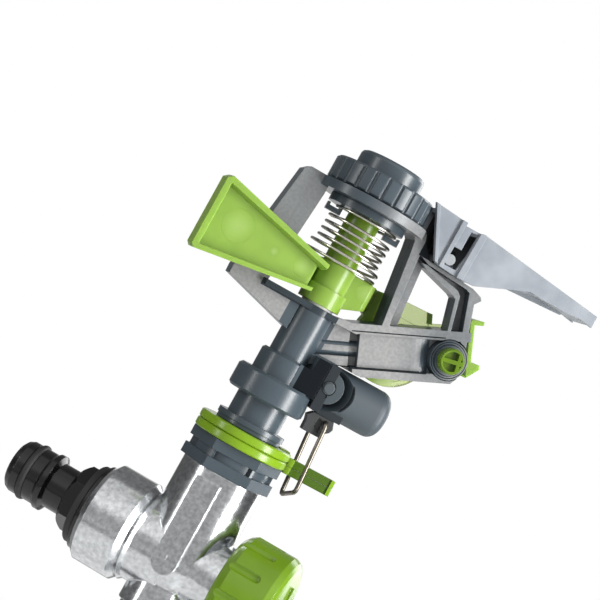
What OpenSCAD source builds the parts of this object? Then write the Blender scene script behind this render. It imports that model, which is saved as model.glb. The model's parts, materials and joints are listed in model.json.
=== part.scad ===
// Impact sprinkler head on a cast tee with a ground spike.
// Millimetres. Z is the head's turning axis, zero at the soil line. The nozzle points to +X.
// The photograph's viewer stands on the -Y side. The tee is turned about Z by tee_yaw.

/* [Water line] */
// height of the tee's cross axis above the soil line
tee_z = 48; // [44:0.5:60]
// turn of the tee about the upright axis
tee_yaw = -24.8; // [-60:0.2:60]
// outside radius of the tee's upright tube
tube_r = 12.4; // [12.2:0.05:13]
// height of the upright tube's rim above the cross axis
tube_rise = 26.9; // [26:0.1:30]
// outside radius of the hose-side socket
socket_r = 15.1; // [14.8:0.05:16]
// distance from the upright axis to the socket's mouth
socket_reach = 28.6; // [28:0.1:32]
// length of the wide part of the socket
socket_len = 15.8; // [14:0.1:17]
// outside radius of the cross tube
cross_r = 12.8; // [12.6:0.05:13.4]
// bore radius of the hose-side socket, for a three-quarter inch pipe thread
socket_bore = 13.2; // [13:0.02:13.4]
// outside radius of the plain outlet stub
stub_r = 10.4; // [10.2:0.05:11]
// distance from the upright axis to the outlet cap's rim
cap_start = 15.2; // [14.6:0.1:16]
// crest radius of the outlet's thread
thread_r = 13.1; // [12.9:0.02:13.2]
// length of the outlet's thread
thread_len = 12.6; // [11:0.1:13]
// outside radius of the outlet cap
cap_r = 16.5; // [16.2:0.05:17.2]
// length of the outlet cap
cap_len = 17.6; // [17:0.1:19]
// count of grip flutes round the outlet cap
cap_flutes = 12; // [8:1:18]

/* [Hose connector] */
// radius of the connector's sealing nose
nose_r = 8.0; // [7.8:0.02:8.1]
// outside radius of the connector's catch ridge
ridge_r = 8.65; // [8.6:0.01:8.8]
// radius of the neck that the hose coupling's catches grip
neck_r = 6.93; // [6.7:0.01:7.1]
// length of the neck
neck_len = 6.0; // [5.6:0.1:7]
// length of the nose from the ridge to the tip
nose_len = 12.6; // [12:0.1:14]
// corner radius of the connector's hexagon
conn_hex_r = 10.2; // [10:0.05:11]
// length of the connector's hexagon
conn_hex_h = 4.4; // [4:0.1:5]
// bore radius of the connector
conn_bore = 4.75; // [4:0.05:5]
// thickness of the rubber washer under the hexagon
washer_h = 2.4; // [2:0.1:3]
// section radius of the connector's O-ring
oring_r = 1.15; // [1:0.01:1.2]

/* [Ground spike] */
// depth of the spike's tip below the soil line
spike_depth = 125; // [90:1:160]
// width of the spike's blade at the soil line
spike_w = 14; // [12:0.2:18]
// thickness of the spike's ribs
spike_t = 3.2; // [2.4:0.1:4]
// half length of the foot plate
foot_l = 22; // [18:0.5:30]

/* [Bearing body] */
// corner radius of the two hexagon flanges
hex_r = 13.9; // [13.6:0.05:14.2]
// height of the lower hexagon flange
hex_low_h = 3.2; // [3:0.05:3.6]
// height of the groove between the hexagon flanges
groove_h = 2.4; // [2.2:0.05:2.8]
// height of the upper hexagon flange
hex_up_h = 3.0; // [2.8:0.05:3.4]
// outside radius of the bearing sleeve
sleeve_r = 7.95; // [7.8:0.01:8.1]
// thickness of one sector collar
collar_h = 2.45; // [2.3:0.01:2.6]
// outside radius of the sector collars
collar_r = 14.2; // [14:0.05:14.8]
// height of the stop flange over the collars
flange_h = 2.7; // [2.5:0.05:3]
// outside radius of the stop flange
flange_r = 10.3; // [10:0.05:10.8]
// length of plain sleeve between the stop flange and the skirt
sleeve_show = 6.7; // [6:0.1:8]
// reach of the sector tabs from the upright axis
tab_reach = 29.4; // [28.5:0.1:31]

/* [Head frame] */
// angle of the nozzle above the horizontal
jet_angle = 24; // [23:0.5:25]
// outside radius of the rotating skirt
skirt_r = 11.55; // [11.4:0.05:12]
// height of the rotating skirt
skirt_h = 7.4; // [7:0.1:8]
// height of the upper sleeve
collet_h = 6.8; // [6.6:0.1:7.2]
// radius of the stem
stem_r = 6.05; // [5.9:0.02:6.3]
// height of the stem from the upper sleeve to the window's sill
stem_h = 16.3; // [16:0.1:16.8]
// height of the window between sill and top ring
window_h = 28.2; // [27.8:0.1:28.8]
// height of the spring holder ring under the top disc
ring_h = 2.3; // [2.1:0.05:2.6]
// radius of the spring holder ring
ring_r = 11.8; // [11.7:0.02:11.9]
// radius of the top disc
disc_r = 17; // [16.8:0.05:17.6]
// thickness of the top disc
disc_h = 2.7; // [2.5:0.05:3]
// full depth of the frame's ribs, front to back
rib_depth = 11.3; // [11:0.05:11.6]
// full depth of the left strap
strap_depth = 7.2; // [6.6:0.05:7.6]
// full depth of the thin web
web_depth = 3.0; // [2.6:0.05:3.4]
// full depth of the nozzle block
block_depth = 9.2; // [8.8:0.05:9.6]
// half height of the nozzle channel across its flanges
channel_half = 7.5; // [7.4:0.02:7.7]
// thickness of the channel's top flange
top_flange_t = 2.8; // [2.6:0.02:3]
// thickness of the channel's bottom flange
low_flange_t = 2.5; // [2.4:0.02:2.7]
// bore radius of the water way inside the channel
jet_bore = 2.0; // [1.8:0.02:2.1]
// outside radius of the boss that holds the diffuser screw
boss_r = 5.6; // [5.4:0.02:5.8]
// distance of the boss along the jet from the upright axis
boss_t = 43.3; // [43:0.05:43.6]

/* [Top] */
// radius of the knurled tension knob
knob_r = 15.35; // [15.2:0.02:15.4]
// height of the knurled tension knob
knob_h = 6.9; // [6.6:0.05:7.4]
// count of grip grooves round the knob
knob_teeth = 24; // [18:1:32]
// radius of the smooth cap
crown_r = 10.0; // [9.8:0.05:10.6]
// height of the smooth cap
crown_h = 4.9; // [4.6:0.05:5.4]

/* [Arm and spring] */
// radius of the arm's post tube
post_r = 4.93; // [4.8:0.01:5.1]
// radius of the steel axle that the arm swings on
axle_r = 2.5; // [2.3:0.02:2.6]
// turn of the paddle away from the frame's plane
paddle_yaw = 5; // [4:0.5:7]
// distance from the axle to the paddle's outer end
paddle_reach = 42.9; // [40:0.1:44]
// depth of the paddle's rim
paddle_depth = 6.0; // [5.6:0.1:6.4]
// wire radius of the arm's spring
spring_wire = 0.42; // [0.36:0.01:0.46]
// mean radius of the arm's spring
spring_r = 9.75; // [9.6:0.01:9.8]
// pitch of the spring's open turns
spring_pitch = 2.05; // [1.95:0.01:2.1]

/* [Deflector flap] */
// outside distance of the flap's cheeks from the middle plane
cheek_y = 8.5; // [8.4:0.02:8.9]
// thickness of the flap's cheeks
cheek_t = 1.25; // [1.1:0.01:1.35]
// radius of the flap's hinge pin
flap_pin_r = 1.6; // [1.5:0.01:1.7]
// distance of the flap's hinge pin from the upright axis
flap_pin_x = 25.2; // [25:0.05:25.4]

/* [Trip gear] */
// radius of the trip rocker's drum
drum_r = 7.05; // [6.9:0.01:7.15]
// distance from the upright axis to the drum's outer end
drum_end = 32.9; // [32:0.1:34]
// radius of the trip rocker's pivot pin
pivot_r = 1.5; // [1.4:0.01:1.6]
// radius of the trip wire
wire_r = 0.7; // [0.6:0.01:0.75]
// distance of the trip wire's legs from the middle plane
wire_y = 6.0; // [5.8:0.05:6.3]

/* [Hidden] */
$fn = 64;
run_gap = 0.05;
play = 0.15;
seat_gap = 0.1;
z_rim = tee_z + tube_rise;
z_groove = z_rim + hex_low_h;
z_hex_up = z_groove + groove_h;
z_neck = z_hex_up + hex_up_h;
z_collar_low = z_neck + play;
z_collar_up = z_collar_low + collar_h + seat_gap;
z_flange = z_collar_up + collar_h + play;
z_sleeve = z_flange + flange_h;
z_skirt = z_sleeve + sleeve_show;
z_collet = z_skirt + skirt_h;
z_stem = z_collet + collet_h;
z_sill = z_stem + stem_h;
z_ring = z_sill + window_h;
z_disc = z_ring + ring_h;
z_knob = z_disc + disc_h + 0.4;
z_crown = z_knob + knob_h;
jet_z = z_sill - 12;
rib_y = rib_depth / 2;
spindle_r = 5.5;
spindle_bore = 4.2;
z_spindle_low = z_rim - 16;
sill_t = 1.7;
z_axle_low = z_sill - 4.5;
z_axle_top = z_crown + seat_gap;
z_hub_low = z_sill + 0.7;
z_hub_step = z_sill + 5.8;
z_hub_top = z_sill + 13.0;
z_drum = z_collet + 4.3;
drum_start = 13.8;
drum_gap = 0.25;
pin_x = 13.0;
z_flap_pin = z_ring + 1.35;

// helpers

// a flat outline in X and Z, given depth along Y
module slab(y0, y1) {
  rotate([90, 0, 0]) translate([0, 0, -y1]) linear_extrude(y1 - y0) children();
}

// the nozzle's own frame: X along the jet, Z across it
module jet() {
  translate([0, 0, jet_z]) rotate([0, -jet_angle, 0]) children();
}

// the same frame for flat outlines
module jet2() {
  translate([0, jet_z]) rotate(jet_angle) children();
}

// the tee's frame: X along the cross axis, towards the outlet cap
module tee_frame() {
  translate([0, 0, tee_z]) rotate([0, 0, tee_yaw]) children();
}

// turned piece along X from a profile of [x, radius]
module turned(profile) {
  rotate([0, 90, 0]) rotate_extrude() polygon([for (p = profile) [p[1], p[0]]]);
}

module rod(a, b, r) {
  d = b - a;
  l = norm(d);
  translate(a) rotate([0, acos(d[2] / l), atan2(d[1], d[0])]) cylinder(h = l, r = r);
}

// tee, spike and connector

module pad_outline() {
  pad_half = 3.74;
  pad_top = tube_rise - 2.9;
  pad_low = -5.0;
  translate([0, pad_low + pad_half]) circle(r = pad_half);
  translate([-pad_half, pad_low + pad_half]) square([2 * pad_half, pad_top - pad_low - pad_half]);
}

module tee_body() {
  bead_x = socket_reach - socket_len;
  mouth = 2.8;
  thread_start = cap_start + 0.4;
  thread_end = thread_start + thread_len;
  well_r = 8.6;
  color([0.75, 0.76, 0.78]) tee_frame() difference() {
    union() {
      cylinder(r = tube_r, h = tube_rise);
      turned([[-socket_reach, 0], [-socket_reach, socket_r - mouth], [-socket_reach + mouth, socket_r],
              [-bead_x - 1.6, socket_r], [-bead_x, socket_r - 1.6], [-bead_x, cross_r],
              [0, cross_r], [0, 0]]);
      turned([[-bead_x - 0.2, 0], [-bead_x - 0.2, cross_r], [-bead_x + 0.9, cross_r + 0.9],
              [-bead_x + 2.0, cross_r], [-bead_x + 2.0, 0]]);
      sphere(r = tube_r);
      translate([0, 0, -socket_r - 1.9]) cylinder(r = 9.4, h = 12);
      turned([[0, 0], [0, stub_r], [thread_start, stub_r], [thread_start, thread_r - 0.7],
              [thread_start + 0.8, thread_r], [thread_end - 1, thread_r],
              [thread_end, thread_r - 1], [thread_end, 0]]);
      slab(-tube_r - 0.35, -tube_r + 1.5) pad_outline();
    }
    for (i = [0:4])
      turned([[thread_start + 1.3 + i * 2.2, thread_r - 0.8], [thread_start + 0.8 + i * 2.2, thread_r + 1],
              [thread_start + 2.6 + i * 2.2, thread_r + 1], [thread_start + 2.1 + i * 2.2, thread_r - 0.8]]);
    translate([0, 0, -0.5]) cylinder(r = well_r, h = tube_rise + 1);
    translate([0, 0, tube_rise - 13.2]) cylinder(r = 10.45, h = 14);
    turned([[-socket_reach - 1, 0], [-socket_reach - 1, socket_bore], [-socket_reach + 12, socket_bore],
            [-socket_reach + 12, 9], [0, 9], [0, 0]]);
    turned([[-0.5, 0], [-0.5, 7.4], [thread_end + 1, 7.4], [thread_end + 1, 0]]);
    translate([0, 0, -socket_r - 3]) cylinder(r = 5.6, h = 6.5);
  }
}

module spike_blade(top_w, z_top) {
  shoulder = 0.86 * top_w / 2;
  slab(-spike_t / 2, spike_t / 2) polygon([[-top_w / 2, z_top], [-top_w / 2, 0],
    [-shoulder, -spike_depth * 0.45], [-1, -spike_depth + 1], [0, -spike_depth],
    [1, -spike_depth + 1], [shoulder, -spike_depth * 0.45], [top_w / 2, 0], [top_w / 2, z_top]]);
}

module ground_spike() {
  seat = tee_z - socket_r - 1.9;
  foot_h = 3.4;
  foot_half = 6;
  color([0.72, 0.73, 0.75]) rotate([0, 0, tee_yaw]) {
    spike_blade(spike_w, seat);
    rotate([0, 0, 90]) spike_blade(spike_w * 0.8, seat);
    cylinder(r = 5.0, h = seat);
    translate([0, 0, seat - 0.5]) cylinder(r = 5.5, h = 5.3);
    translate([0, 0, seat - 3]) cylinder(r = 8.4, h = 3);
    linear_extrude(foot_h) {
      square([2 * (foot_l - foot_half), 2 * foot_half], center = true);
      for (s = [-1, 1]) translate([s * (foot_l - foot_half), 0]) circle(r = foot_half);
    }
    slab(-spike_t / 2, spike_t / 2)
      polygon([[-foot_l + 3, foot_h], [-spike_w / 2, foot_h + 9], [spike_w / 2, foot_h + 9],
               [foot_l - 3, foot_h]]);
  }
}

conn_face = socket_reach;
hex_start = conn_face + washer_h;
neck_start = hex_start + conn_hex_h;
ridge_start = neck_start + neck_len;
ridge_len = 3.3;
nose_start = ridge_start + ridge_len;
oring_x = nose_start + 4.3;
tip_x = ridge_start + nose_len + 0.8;

module hose_connector() {
  thread_in = 11.4;
  color([0.05, 0.05, 0.055]) tee_frame() difference() {
    union() {
      turned([[-conn_face + thread_in, 0], [-conn_face + thread_in, socket_bore - 1.1],
              [-conn_face + thread_in - 1, socket_bore - play], [-conn_face, socket_bore - play],
              [-conn_face, 10.4], [-hex_start, 10.4], [-hex_start, 0]]);
      intersection() {
        rotate([0, -90, 0]) translate([0, 0, hex_start]) cylinder(r = conn_hex_r, h = conn_hex_h, $fn = 6);
        turned([[-hex_start, 0], [-hex_start, conn_hex_r + 1], [-neck_start + 1.4, conn_hex_r],
                [-neck_start, conn_hex_r - 1.5], [-neck_start, 0]]);
      }
      turned([[-neck_start + 0.2, 0], [-neck_start + 0.2, neck_r], [-ridge_start, neck_r],
              [-ridge_start - 0.9, ridge_r], [-nose_start + 0.9, ridge_r], [-nose_start, nose_r],
              [-oring_x + oring_r, nose_r], [-oring_x + oring_r, ridge_r - 2 * oring_r],
              [-oring_x - oring_r, ridge_r - 2 * oring_r], [-oring_x - oring_r, nose_r],
              [-tip_x + 2.3, nose_r], [-tip_x + 1, nose_r - 0.6], [-tip_x + 0.3, nose_r - 1.5],
              [-tip_x, nose_r - 2.4], [-tip_x, 0]]);
    }
    turned([[-tip_x - 1, 0], [-tip_x - 1, conn_bore], [-conn_face + thread_in + 1, conn_bore],
            [-conn_face + thread_in + 1, 0]]);
  }
}

module connector_washer() {
  color([0.04, 0.04, 0.04]) tee_frame() turned([[-conn_face - 0.02, 10.5], [-conn_face - 0.02, 11.7],
    [-conn_face - 0.5, 12.1], [-hex_start + 0.4, 12.1], [-hex_start, 11.8], [-hex_start, 10.5]]);
}

module connector_o_ring() {
  color([0.03, 0.03, 0.03]) tee_frame() rotate([0, -90, 0]) translate([0, 0, oring_x])
    rotate_extrude() translate([ridge_r - oring_r, 0]) circle(r = oring_r - 0.02, $fn = 32);
}

// outlet cap

module cap_profile(grow) {
  turned([[cap_start, 0], [cap_start, cap_r - 2.2 + grow], [cap_start + 1.1, cap_r - 0.9 + grow],
          [cap_start + 2.6, cap_r + grow], [cap_start + cap_len - 3, cap_r + grow],
          [cap_start + cap_len - 1.2, cap_r - 0.8 + grow], [cap_start + cap_len - 0.4, cap_r - 2 + grow],
          [cap_start + cap_len, cap_r - 3.4 + grow], [cap_start + cap_len, 0]]);
}

module outlet_cap() {
  flute_r = 1.5;
  bore = thread_r + play;
  floor_x = cap_start + 0.4 + thread_len + 1.8;
  color([0.55, 0.70, 0.17]) tee_frame() difference() {
    union() {
      cap_profile(0);
      translate([cap_start + cap_len - 0.5, -0.9, -9]) cube([1.3, 1.8, 18]);
    }
    turned([[cap_start - 1, 0], [cap_start - 1, bore], [floor_x, bore], [floor_x, 0]]);
    for (i = [0:cap_flutes - 1]) rotate([i * 360 / cap_flutes + 2, 0, 0])
      translate([cap_start - 1, 0, cap_r + 0.75]) {
        rotate([0, 90, 0]) cylinder(r = flute_r, h = cap_len * 0.62, $fn = 32);
        translate([cap_len * 0.62, 0, 0]) sphere(r = flute_r, $fn = 32);
      }
  }
}

module outlet_cap_seal() {
  seal_x = cap_start + 0.4 + thread_len + play;
  color([0.12, 0.12, 0.12]) tee_frame()
    turned([[seal_x, 8], [seal_x, thread_r - 0.8], [seal_x + 1.6, thread_r - 0.8], [seal_x + 1.6, 8]]);
}

// bearing body and spindle

module bearing_body() {
  hex_turn = -9.8;
  color([0.27, 0.30, 0.32]) difference() {
    union() {
      translate([0, 0, z_rim]) rotate([0, 0, hex_turn]) cylinder(r = hex_r, h = hex_low_h, $fn = 6);
      translate([0, 0, z_groove - 0.1]) cylinder(r = tube_r - 0.9, h = groove_h + 0.2);
      translate([0, 0, z_hex_up]) rotate([0, 0, hex_turn]) cylinder(r = hex_r, h = hex_up_h, $fn = 6);
      for (a = [0:60:300]) rotate([0, 0, a + hex_turn])
        translate([tube_r - 2, -0.5, z_groove - 0.1]) cube([2.4, 1, groove_h + 0.2]);
      translate([0, 0, z_neck - 0.1]) cylinder(r = sleeve_r, h = z_skirt + 4.4 - z_neck);
      translate([0, 0, z_flange]) cylinder(r = flange_r - 0.35, h = flange_h);
      translate([0, 0, z_flange + flange_h * 0.42]) cylinder(r = flange_r, h = flange_h * 0.58);
      translate([0, 0, z_rim - 12]) cylinder(r = 10.3, h = 12.1);
    }
    translate([0, 0, z_rim - 13]) cylinder(r = spindle_r + run_gap, h = 60);
    for (i = [0:4]) translate([0, 0, z_rim - 10.5 + i * 1.9])
      rotate_extrude() polygon([[9.7, 0.5], [11, -0.1], [11, 1.1]]);
  }
}

module bearing_seal() {
  color([0.10, 0.10, 0.10]) translate([0, 0, z_rim - 13.1])
    difference() {
      cylinder(r = 10.2, h = 1.0);
      translate([0, 0, -1]) cylinder(r = 8.7, h = 3);
    }
}

module spindle() {
  color([0.80, 0.78, 0.70]) difference() {
    union() {
      translate([0, 0, z_spindle_low + 1.6]) cylinder(r = spindle_r, h = z_collet - z_spindle_low + 2.4);
      translate([0, 0, z_spindle_low]) cylinder(r = 7.6, h = 1.7);
    }
    translate([0, 0, z_spindle_low - 1]) cylinder(r = spindle_bore, h = 80);
  }
}

module spindle_washer() {
  washer_z = z_spindle_low + 1.7 + run_gap;
  color([0.92, 0.92, 0.90]) difference() {
    translate([0, 0, washer_z]) cylinder(r = 7.6, h = z_rim - 12 - washer_z - run_gap);
    translate([0, 0, washer_z - 1]) cylinder(r = spindle_r + 0.08, h = 6);
  }
}

module sand_seal() {
  seal_z = z_skirt + 2.4;
  color([0.13, 0.13, 0.13]) difference() {
    translate([0, 0, seal_z]) cylinder(r = 9.3, h = 1.6);
    translate([0, 0, seal_z - 1]) cylinder(r = sleeve_r + run_gap, h = 4);
  }
}

// head frame

strap_top = 21.2;
strap_low = 27.2;
win_top = 14.4;
win_low = 16.6;
post_low = 17.9;
open_top = 21.1;

module strap_outline() {
  polygon([[-strap_top, z_disc + disc_h], [-strap_top - 1.6, z_disc + disc_h - 1.4],
           [-strap_low, z_sill - 1.2], [-strap_low + 0.1, z_sill - 3.6], [-stem_r + 0.8, z_stem + 6.8],
           [-stem_r + 0.8, z_sill - 0.1], [-win_low, z_sill], [-win_top, z_ring],
           [-win_top, z_disc + 0.1], [-win_top + 2, z_disc + 0.1], [-win_top + 2, z_disc + disc_h]]);
}

// line along the channel's top flange, at distance n from the jet's middle line
function flange_z(x, n) = jet_z + x * tan(jet_angle) + n / cos(jet_angle);

module sill_outline() {
  inner = channel_half - top_flange_t;
  polygon([[-win_low - 0.6, z_sill], [5, z_sill], [10.1, flange_z(10.1, channel_half) + 0.1],
           [41.9, flange_z(41.9, channel_half)], [43.1, flange_z(43.1, inner)],
           [13.8, flange_z(13.8, inner)], [12.4, z_sill - sill_t + 0.2], [5, z_sill - sill_t],
           [-win_low - 0.6, z_sill - sill_t]]);
}

module post_outline() {
  polygon([[win_top + 0.4, z_ring - 1.5], [win_top - 0.1, z_ring + 1.3], [win_top - 0.8, z_disc - 0.2],
           [win_top - 1.9, z_disc + 0.4], [win_top - 1.9, z_disc + disc_h], [win_top + 1.1, z_disc + disc_h],
           [win_top + 2.1, z_disc + disc_h - 0.6], [win_top + 2.8, z_disc + 0.3], [win_top + 3.1, z_ring],
           [post_low + 1.5, z_sill + 7.2], [post_low + 2.2, z_sill + 4.6], [post_low, z_sill + 4]]);
}

module outer_flange_outline() {
  polygon([[16.0, z_disc + 0.4], [17.6, z_disc + 0.2], [open_top, z_ring - 1.7], [36.0, z_ring - 2.3],
           [39.2, z_ring - 3.3], [39.9, z_ring - 4.2], [38.5, z_ring - 6.0], [42.7, z_ring - 18],
           [40.5, z_ring - 17.3], [35.7, z_ring - 3.9], [34.4, z_ring - 3.4], [open_top, z_ring - 2.7],
           [17.0, z_disc - 3.4]]);
}

module inner_rib_outline() {
  polygon([[open_top - 1.9, z_ring - 3.1], [open_top, z_ring - 2.9], [32.4, z_ring - 4.9],
           [33.7, z_ring - 6.0], [36.3, flange_z(36.3, channel_half) + 0.1],
           [35.4, flange_z(35.4, channel_half) - 0.1], [32.9, z_ring - 7.4], [31.7, z_ring - 6.8],
           [open_top, z_ring - 4.1]]);
}

module opening_outline() {
  polygon([[open_top, z_ring - 4.1], [31.7, z_ring - 6.8], [32.9, z_ring - 7.4],
           [35.4, flange_z(35.4, channel_half) - 0.1], [22.9, flange_z(22.9, channel_half) - 0.1],
           [22.1, z_ring - 14.6]]);
}

module web_outline() {
  polygon([[win_top, z_ring + 0.5], [win_top, z_disc + 0.6], [17, z_disc + 0.5],
           [open_top, z_ring - 1.8], [36.0, z_ring - 2.4], [39.0, z_ring - 3.4], [38.2, z_ring - 6.0],
           [42.4, z_ring - 18], [43.8, z_ring - 23.6], [43.0, z_ring - 28.4],
           [19.5, z_drum + drum_r + drum_gap], [12.4, z_drum + drum_r + drum_gap],
           [4.5, flange_z(4.5, -4.6)], [4.5, z_sill - 1], [10.1, z_sill], [post_low, z_sill + 4]]);
}

module low_flange_outline() {
  jet2() polygon([[15.6, -channel_half + 1.1], [15.6, -channel_half + low_flange_t],
    [46.4, -channel_half + low_flange_t], [46.2, -channel_half + low_flange_t - 0.9],
    [44.4, -channel_half], [18.3, -channel_half]]);
}

module block_outline() {
  jet2() polygon([[17.1, -channel_half + low_flange_t - 0.1], [17.1, channel_half - top_flange_t + 0.1],
    [46.8, channel_half - top_flange_t + 0.1], [46.2, -channel_half + low_flange_t - 0.1]]);
}

// part of the water block's front that falls away before the boss
module block_relief() {
  start = boss_t - 10.5;
  fall = 1.6;
  steps = 6;
  inner_h = 2 * channel_half - top_flange_t - low_flange_t;
  curve = [for (i = [0:steps]) [start + i * 0.85, fall * pow(i / steps, 1.7) - block_depth / 2]];
  jet() translate([0, 0, -channel_half + low_flange_t]) linear_extrude(inner_h)
    polygon(concat([[start, -block_depth / 2 - 1]], curve,
      [[boss_t + 5, fall - block_depth / 2], [boss_t + 5, -block_depth / 2 - 1]]));
}

// block that joins the upper sleeve to the trip rocker's pivot
module bracket_outline() {
  polygon([[2.4, z_collet - 0.3], [10.3, z_collet - 0.3], [10.3, z_stem + 4.2], [6.3, z_stem + 4.2],
           [6.1, z_stem], [2.4, z_stem]]);
}

module water_way() {
  translate([0, 0, z_skirt]) cylinder(r = spindle_r + 0.01, h = z_collet - z_skirt + 4.5);
  translate([0, 0, z_collet]) cylinder(r = spindle_bore - 0.2, h = jet_z + 3.5 - z_collet);
  jet() rotate([0, 90, 0]) cylinder(r = jet_bore - 0.3, h = 43);
  jet() translate([boss_t - 3.5, 0, 0]) rotate([0, 90, 0]) cylinder(r = jet_bore + 0.5, h = 12);
}

module lug_outline() {
  polygon([[flap_pin_x - 3.4, z_ring - 2.4], [flap_pin_x - 2.6, z_flap_pin + 1.2],
           [flap_pin_x - 1.2, z_flap_pin + 2.9], [flap_pin_x + 1.2, z_flap_pin + 2.9],
           [flap_pin_x + 2.6, z_flap_pin + 1.2], [flap_pin_x + 3.4, z_ring - 2.4]]);
}

module head_frame() {
  pin_hole = pivot_r + 0.02;
  color([0.42, 0.44, 0.46]) difference() {
    union() {
      slab(-strap_depth / 2, strap_depth / 2) strap_outline();
      slab(-rib_y, rib_y) {
        sill_outline();
        post_outline();
        outer_flange_outline();
      }
      slab(-rib_y, -web_depth / 2) inner_rib_outline();
      slab(-web_depth / 2, web_depth / 2) difference() {
        web_outline();
        opening_outline();
      }
      slab(-rib_y, rib_y) low_flange_outline();
      difference() {
        slab(-block_depth / 2, block_depth / 2) block_outline();
        block_relief();
      }
      slab(-3, 3) polygon([[4, z_sill - sill_t + 0.1], [11.4, z_sill - sill_t + 0.1],
        [12.5, flange_z(12.5, 2)], [4, flange_z(4, 2)]]);
      slab(-3.5, 3.5) jet2() polygon([[1, -2.1], [14.6, -2.1], [14.6, -5.0], [1, -5.0]]);
      jet() rotate([0, 90, 0]) cylinder(r = 2.95, h = 14.6);
      jet() rotate([0, 90, 0]) cylinder(r = 2.7, h = 18);
      slab(-5.9, rib_y) jet2() translate([boss_t, -0.8]) circle(r = boss_r);
      slab(-6.5, -5) jet2() translate([boss_t, -0.8]) circle(r = boss_r - 1.1);
      slab(-4.4, 4.4) lug_outline();
      translate([0, 0, z_disc]) cylinder(r = disc_r, h = disc_h);
      translate([0, 0, z_stem - 0.5]) cylinder(r = stem_r, h = z_sill - z_stem + 0.4);
      rotate_extrude() polygon([[0, z_collet - 0.1], [sleeve_r, z_collet - 0.1], [sleeve_r, z_stem - 0.7],
        [sleeve_r - 0.7, z_stem], [0, z_stem]]);
      rotate_extrude() polygon([[0, z_skirt], [skirt_r - 0.7, z_skirt], [skirt_r, z_skirt + 0.7],
        [skirt_r, z_collet - 0.8], [skirt_r - 0.8, z_collet], [0, z_collet]]);
      slab(-7.65, 2.7) bracket_outline();
    }
    water_way();
    translate([0, 0, z_skirt - 1]) cylinder(r = 9.4, h = 5.4);
    translate([0, 0, z_skirt]) cylinder(r = spindle_r + 3, h = 4.4 + 0.4);
    translate([0, 0, z_axle_low]) cylinder(r = axle_r, h = 60);
    translate([0, 0, z_disc - 1]) cylinder(r = 8.2, h = 6);
    translate([5.9, 0, z_drum]) rotate([0, 90, 0]) cylinder(r = pin_hole, h = 20);
    slab(-8, -1) jet2() translate([boss_t, -0.8]) circle(r = 2.3);
    slab(-8, -5.3) jet2() translate([boss_t, -0.8]) circle(r = 2.9);
    slab(-6, 6) translate([flap_pin_x, z_flap_pin]) circle(r = flap_pin_r + run_gap);
  }
}

module nozzle_tip() {
  color([0.72, 0.60, 0.30]) jet() rotate([0, 90, 0]) translate([0, 0, boss_t + 3.2]) difference() {
    cylinder(r = jet_bore + 0.48, h = 2.2);
    translate([0, 0, -1]) cylinder(r = jet_bore - 0.5, h = 6);
  }
}

// axle, top knob and spring

module arm_axle() {
  color([0.75, 0.75, 0.76]) translate([0, 0, z_axle_low])
    cylinder(r = axle_r - 0.01, h = z_axle_top - z_axle_low);
}

module axle_screw() {
  color([0.70, 0.70, 0.72]) difference() {
    translate([0, 0, z_axle_top + 0.02]) cylinder(r = 4.2, h = 1.7);
    translate([-4.5, -0.4, z_axle_top + 1.1]) cube([9, 0.8, 2]);
  }
}

module thrust_washer() {
  color([0.85, 0.85, 0.83]) difference() {
    translate([0, 0, z_sill + 0.02]) cylinder(r = 4.9, h = z_hub_low - z_sill - 0.05);
    translate([0, 0, z_sill - 1]) cylinder(r = axle_r + run_gap, h = 4);
  }
}

module spring_holder() {
  finger_low = z_ring - 2.8;
  foot_h = 1.4;
  lip_h = 2.2;
  color([0.20, 0.22, 0.23]) difference() {
    union() {
      translate([0, 0, z_ring + 0.05]) cylinder(r = ring_r, h = ring_h - 0.15);
      translate([0, 0, z_ring + 0.05]) cylinder(r = 7.6, h = z_knob - z_ring - 0.05);
      for (a = [-6, 174]) rotate([0, 0, a]) {
        translate([6.9, -1.3, finger_low]) cube([1.0, 2.6, z_ring + 0.1 - finger_low]);
        translate([6.9, -1.3, finger_low]) cube([4.7, 2.6, foot_h]);
        translate([10.8, -1.3, finger_low]) cube([0.8, 2.6, lip_h]);
      }
    }
    translate([0, 0, z_ring - 4]) cylinder(r = axle_r + run_gap, h = 20);
  }
}

module tension_knob() {
  groove_r = 0.65;
  rim = [[0, z_knob], [knob_r - 0.5, z_knob], [knob_r, z_knob + 0.5], [knob_r, z_crown - 0.6],
         [knob_r - 0.6, z_crown], [0, z_crown]];
  color([0.29, 0.32, 0.34]) difference() {
    rotate_extrude() polygon(rim);
    for (i = [0:knob_teeth - 1]) rotate([0, 0, (i + 0.4) * 360 / knob_teeth])
      translate([knob_r + 0.1, 0, z_knob - 1]) cylinder(r = groove_r, h = knob_h + 2, $fn = 24);
    difference() {
      translate([0, 0, z_knob - 1]) cylinder(r = knob_r - 2.4, h = knob_h - 0.6);
      translate([0, 0, z_knob - 2]) cylinder(r = 7.6, h = knob_h + 2);
    }
    translate([0, 0, z_knob - 1]) cylinder(r = axle_r + run_gap, h = 20);
  }
}

module knob_crown() {
  top = z_crown + crown_h;
  skin = 1.2;
  color([0.27, 0.30, 0.32]) rotate_extrude()
    polygon([[crown_r, z_crown + 0.02], [crown_r, top - 1.2], [crown_r - 0.35, top - 0.45],
             [crown_r - 1.2, top], [0, top], [0, top - skin], [crown_r - skin - 0.8, top - skin],
             [crown_r - skin, top - skin - 0.8], [crown_r - skin, z_crown + 0.02]]);
}

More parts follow.
